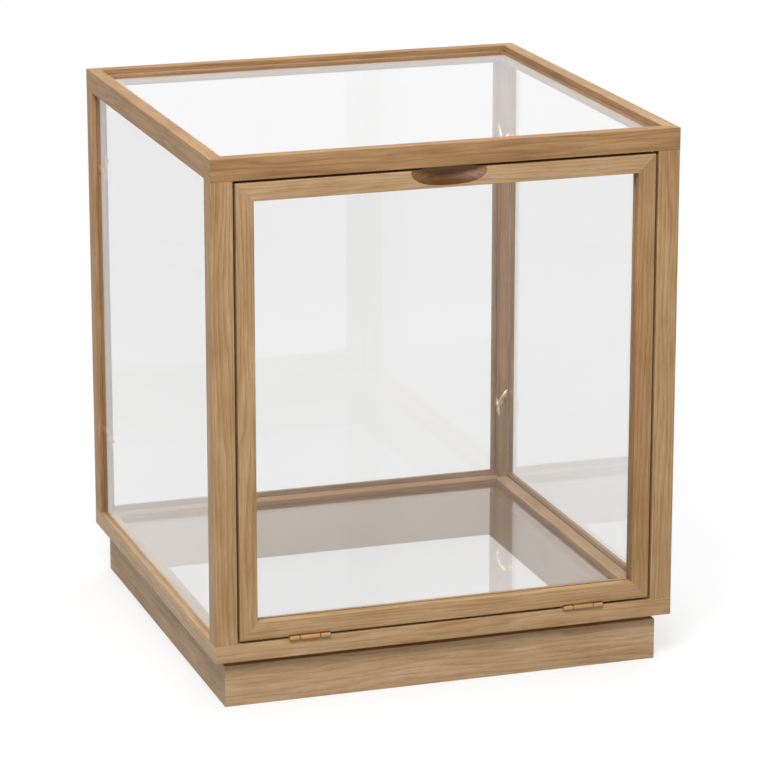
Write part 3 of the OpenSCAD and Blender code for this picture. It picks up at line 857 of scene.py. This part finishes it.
def build_buttons(brass, screw_brass_painted_shade):
    """The turn buttons at rest, each leaned over its pane, and their round-headed screws. A
    button rides on the body of its own name."""
    names = [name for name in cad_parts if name.startswith("button_") and name != "button_screws"]
    cap_r = (BUTTON_HEAD_R**2 + BUTTON_HEAD_H**2) / (2 * BUTTON_HEAD_H)
    seat = 2 * BUTTON_GAP + BUTTON_T
    foot = seat - BUTTON_RIM

    def round_top(x, y):
        """The height of a screw's domed head over its post."""
        return seat + BUTTON_HEAD_H - cap_r + np.sqrt(np.maximum(cap_r**2 - x**2 - y**2, 0))

    point = [(radius, up - BUTTON_HOLD) for radius, up in BUTTON_POINT]
    shank = revolved(point + [(BUTTON_SHANK_R, foot), (0, foot)])
    head = slotted_head(BUTTON_HEAD_R, round_top, foot, ROUND_SLOT)
    screws = []
    for name in sorted(names):
        rings = at_button(name, BUTTON_LEAN, button_shell())
        hardware("brass_" + name, name, brass, [rings], name)
        lean = dice.uniform(-BUTTON_SCREW_TURN, BUTTON_SCREW_TURN)
        screws += [at_button(name, lean, head), at_button(name, lean, shank)]
    hardware("brass_button_screws", "case", screw_brass_painted_shade, screws, "button_screws")


def build_catch(nickel):
    """Discs with eased rims, a hair proud of the oak on the side that the other faces."""
    for node, body, out in (("catch_magnets", "case", -1), ("catch_plates", "door", 1)):
        lo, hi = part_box(node)
        radius = (hi.z - lo.z) / 2
        front, back = (lo.y, hi.y) if out < 0 else (hi.y, lo.y)
        face = front + out * PROUD
        profile = [(0, back), (radius, back), (radius, front), (radius - PROUD, face), (0, face)]
        rings = revolved(profile)[..., [0, 2, 1]]
        z = (lo.z + hi.z) / 2
        shells = [rings + np.array([x, 0, z]) for x in (lo.x + radius, hi.x - radius)]
        hardware("nickel_" + node, body, nickel, shells, node)


# Materials


def colour(code):
    """An sRGB hex value as linear red, green, blue and alpha."""
    parts = [int(code[i:i + 2], 16) / 255 for i in (1, 3, 5)]
    linear = [c / 12.92 if c <= 0.04045 else ((c + 0.055) / 1.055) ** 2.4 for c in parts]
    return (*linear, 1.0)


def add(tree, kind, inputs=None, stops=(), **settings):
    """Adds a node with its settings and links. An input is a value, another node's output, or
    a node, which stands for its first output. A ramp's stops are (place, colour or grey)."""
    node = tree.nodes.new("ShaderNode" + kind)
    for key, value in settings.items():
        setattr(node, key, value)
    for key, value in (inputs or {}).items():
        if isinstance(value, bpy.types.Node):
            value = value.outputs[0]
        if isinstance(value, bpy.types.NodeSocket):
            tree.links.new(value, node.inputs[key])
        else:
            node.inputs[key].default_value = value
    for n, (place, value) in enumerate(stops):
        elements = node.color_ramp.elements
        element = elements[n] if n < len(elements) else elements.new(place)
        element.position = place
        element.color = colour(value) if isinstance(value, str) else (value, value, value, 1.0)
    return node


def new_material(name):
    """A material with an empty node tree."""
    material = bpy.data.materials.new(name)
    material.use_nodes = True
    material.node_tree.nodes.clear()
    return material, material.node_tree


def per_mm(along, across, through):
    """Scale of a pattern whose features are that many millimetres long, wide and deep."""
    return (1000 / along, 1000 / across, 1000 / through)


def oiled_oak():
    """European oak, planed and oiled: faint growth rings that run along the board, fine
    streaks between them, dark dashes of open pores that gather in the early part of each
    ring, a soft cloudy figure, and a slow change of tone. Pores are about 0.3 mm wide in
    the wood and are drawn 0.5 mm wide, so that they show."""
    material, tree = new_material("oiled_oak")
    grain = add(tree, "Attribute", attribute_name="grain").outputs["Vector"]
    tone = add(tree, "Attribute", attribute_name="tone").outputs["Fac"]

    noise = {}
    for name, (size, detail, rough) in OAK_NOISE.items():
        place = add(tree, "VectorMath", {0: grain, 1: per_mm(*size)}, operation="MULTIPLY")
        inputs = {"Vector": place, "Scale": 1.0, "Detail": detail, "Roughness": rough}
        noise[name] = add(tree, "TexNoise", inputs)

    # Rings, counted across the board. early is how near a place is to the start of its ring.
    place = add(tree, "VectorMath", {0: grain, 1: per_mm(*RING_SIZE)}, operation="MULTIPLY")
    across = add(tree, "SeparateXYZ", {0: place})
    rings = add(tree, "Math", {0: across.outputs["Y"], 1: across.outputs["Z"]}, operation="ADD")
    bend = add(tree, "Math", {0: noise["bend"], 1: OAK_BEND_RINGS}, operation="MULTIPLY")
    rings = add(tree, "Math", {0: rings, 1: bend}, operation="ADD")
    phase = add(tree, "Math", {0: rings}, operation="FRACT")
    early = add(tree, "ValToRGB", {"Fac": phase}, EARLY_STOPS)

    # Open pores, more of them in the early wood
    pores = add(tree, "ValToRGB", {"Fac": noise["pore"]}, PORE_STOPS)
    extra = add(tree, "Math", {0: early, 1: PORE_EARLY}, operation="MULTIPLY")
    opened = add(tree, "Math", {0: extra, 1: PORE_LATE}, operation="ADD")
    pores = add(tree, "Math", {0: pores, 1: opened}, operation="MULTIPLY")

    # The shade is a weighted sum, and a ramp gives it its colour
    shade = add(tree, "Math", {0: early, 1: 0.11}, operation="MULTIPLY")
    weights = ((noise["streak"], 0.34), (noise["cloud"], 0.3), (noise["figure"], 0.2), (tone, 0.19))
    for part, weight in weights:
        part = add(tree, "Math", {0: part, 1: weight}, operation="MULTIPLY")
        shade = add(tree, "Math", {0: shade, 1: part}, operation="ADD")
    base = add(tree, "ValToRGB", {"Fac": shade}, OAK_STOPS)
    dark = add(tree, "Math", {0: pores, 1: PORE_DARK}, operation="MULTIPLY")
    body = add(tree, "Mix", {0: dark, 6: base, 7: colour(PORE_COLOUR)}, data_type="RGBA").outputs[2]

    # The streaks stand up a little and the pores are sunk
    rough = add(tree, "ValToRGB", {"Fac": noise["streak"]}, [(0.3, 0.48), (0.7, 0.6)])
    raised = add(tree, "Math", {0: noise["streak"], 1: 0.3}, operation="MULTIPLY")
    height = add(tree, "Math", {0: raised, 1: pores}, operation="SUBTRACT")
    bump = add(tree, "Bump", {"Strength": 0.25, "Distance": mm(0.15), "Height": height})
    inputs = {"Base Color": body, "Roughness": rough, "IOR": OAK_IOR, "Normal": bump}
    shader = add(tree, "BsdfPrincipled", inputs)
    add(tree, "OutputMaterial", {"Surface": shader})
    return material


def float_glass(name, tint):
    """Float glass: flat and smooth, so that it mirrors sharply, with a faint grey tint. Light
    that reaches the inside goes straight through, so the panes cast only a faint shadow."""
    material, tree = new_material(name)
    clear = add(tree, "BsdfPrincipled", {
        "Base Color": colour(tint), "Roughness": 0.0, "IOR": GLASS_IOR, "Transmission Weight": 1.0,
    })
    through = add(tree, "BsdfTransparent", {"Color": colour(GLASS_SHADE)})
    path = add(tree, "LightPath")
    soft = add(
        tree, "Math", {0: path.outputs["Is Shadow Ray"], 1: path.outputs["Is Diffuse Ray"]},
        operation="MAXIMUM",
    )
    mix = add(tree, "MixShader", {0: soft, 1: clear, 2: through})
    add(tree, "OutputMaterial", {"Surface": mix})
    return material


def metal(name, code, rough_low, rough_high, wear_mm):
    """A plain metal with fine wear, in spots of that many millimetres: small changes of
    roughness, which soften its highlights, and a faint unevenness."""
    material, tree = new_material(name)
    place = add(tree, "TexCoord").outputs["Object"]
    wear = add(tree, "TexNoise", {"Vector": place, "Scale": 1000 / wear_mm, "Detail": 3.0})
    rough = add(tree, "ValToRGB", {"Fac": wear}, [(0.35, rough_low), (0.65, rough_high)])
    bump = add(tree, "Bump", {"Strength": 0.12, "Distance": mm(0.05), "Height": wear})
    inputs = {"Base Color": colour(code), "Metallic": 1.0, "Roughness": rough, "Normal": bump}
    shader = add(tree, "BsdfPrincipled", inputs)
    add(tree, "OutputMaterial", {"Surface": shader})
    return material


# Stage


def build_floor():
    """A pale floor that shows white to the camera and keeps the soft shadow of the case."""
    mesh = bpy.data.meshes.new("floor")
    half = FLOOR_HALF
    corners = [(-half, -half, 0), (half, -half, 0), (half, half, 0), (-half, half, 0)]
    mesh.from_pydata(corners, [], [(0, 1, 2, 3)])
    floor = bpy.data.objects.new("floor", mesh)
    bpy.context.scene.collection.objects.link(floor)
    material, tree = new_material("studio_floor")
    paper = add(tree, "BsdfDiffuse", {"Color": colour(FLOOR_COLOUR)})
    shade = add(tree, "BsdfDiffuse", {"Color": colour(FLOOR_SHADE)})
    glow = add(tree, "Emission", {"Color": WHITE, "Strength": FLOOR_GLOW})
    white = add(tree, "Emission", {"Color": WHITE, "Strength": 1.0})
    place = add(tree, "TexCoord").outputs["Object"]
    away = add(tree, "VectorMath", {0: place}, operation="LENGTH").outputs["Value"]
    far = add(
        tree, "MapRange", {"Value": away, "From Min": FLOOR_NEAR, "From Max": FLOOR_FAR},
        interpolation_type="SMOOTHSTEP",
    )
    near = add(tree, "AddShader", {0: shade, 1: glow})
    lit = add(tree, "MixShader", {0: far, 1: near, 2: white})
    mix = add(tree, "MixShader", {0: seen_directly(tree), 1: paper, 2: lit})
    add(tree, "OutputMaterial", {"Surface": mix})
    mesh.materials.append(material)


def seen_directly(tree):
    """1 where the camera, a reflection or a look through glass meets the surface."""
    path = add(tree, "LightPath")
    seen = add(
        tree, "Math", {0: path.outputs["Is Camera Ray"], 1: path.outputs["Is Glossy Ray"]},
        operation="MAXIMUM",
    )
    return add(
        tree, "Math", {0: seen, 1: path.outputs["Is Transmission Ray"]}, operation="MAXIMUM",
    )


def build_world():
    """White to the eye, and a weak fill light on everything else."""
    world = bpy.data.worlds.new("studio")
    world.use_nodes = True
    tree = world.node_tree
    tree.nodes.clear()
    white = add(tree, "Background", {"Color": WHITE, "Strength": 1.0})
    fill = add(tree, "Background", {"Color": WHITE, "Strength": FILL})
    mix = add(tree, "MixShader", {0: seen_directly(tree), 1: fill, 2: white})
    add(tree, "OutputWorld", {"Surface": mix})
    bpy.context.scene.world = world


def aimed(place, aim):
    """The rotation of a lamp or camera at a place that looks at the aim."""
    return (Vector(aim) - Vector(place)).to_track_quat("-Z", "Y").to_euler()


def build_lamp(name, place, side, power, mirrored):
    """A square lamp aimed at the case. The panes and the brass mirror it, or don't."""
    lamp = bpy.data.lights.new(name, "AREA")
    lamp.shape = "SQUARE"
    lamp.size = side
    lamp.energy = power
    light = bpy.data.objects.new(name, lamp)
    light.location = place
    light.visible_glossy = mirrored
    light.visible_transmission = mirrored
    light.rotation_euler = aimed(place, LAMP_AIM)
    bpy.context.scene.collection.objects.link(light)


def build_camera():
    """A long lens from the left and a little above."""
    data = bpy.data.cameras.new("camera")
    data.lens = CAMERA_LENS
    data.sensor_width = CAMERA_SENSOR
    camera = bpy.data.objects.new("camera", data)
    camera.location = CAMERA_AT
    camera.rotation_euler = aimed(CAMERA_AT, CAMERA_AIM)
    bpy.context.scene.collection.objects.link(camera)
    bpy.context.scene.camera = camera


# The scene

build_camera()
build_floor()
build_world()
for name, (place, side, power, mirrored) in LAMPS.items():
    build_lamp(name, place, side, power, mirrored)
bpy.context.scene.view_settings.view_transform = "Standard"

oak = oiled_oak()
glass = float_glass("clear_float_glass", GLASS_TINT)
# The top and left panes are copies of one glass, with painted light and painted shade in their tints
top_glass_painted_light = float_glass("glass_painted_light_top", TOP_PAINTED_LIGHT_TINT)
left_glass_painted_shade = float_glass("glass_painted_shade_left", LEFT_PAINTED_SHADE_TINT)

# Satin brass is pale with soft highlights. The hinges' copy is darker with painted shade, and
# the screws' copy is the darkest, with more painted shade. Nickel plate is grey and the smoothest of
# the four.

brass = metal("satin_brass", "#cbab80", 0.28, 0.42, 1.2)
hinge_brass_painted_shade = metal("brass_painted_shade_hinges", "#b38f63", 0.34, 0.5, 1.2)
screw_brass_painted_shade = metal("brass_painted_shade_screws", "#9a7448", 0.3, 0.42, 0.8)
nickel = metal("nickel_plated_steel", "#cdc9c3", 0.25, 0.35, 0.8)

build_rails(oak)
build_sill_rail(oak)
build_posts(oak)
build_door(oak)
build_stop(oak)
build_pane("pane_left", "case", left_glass_painted_shade)
for node in ("pane_right", "pane_rear"):
    build_pane(node, "case", glass)
build_pane("pane_top", "case", top_glass_painted_light)
build_pane("pane_floor", "case", glass)
build_pane("door_glass", "door", glass)
# The hinges and their screws, and the buttons' screws, get brass with painted shade in its colour
build_hinges(hinge_brass_painted_shade)
build_buttons(brass, screw_brass_painted_shade)
build_catch(nickel)
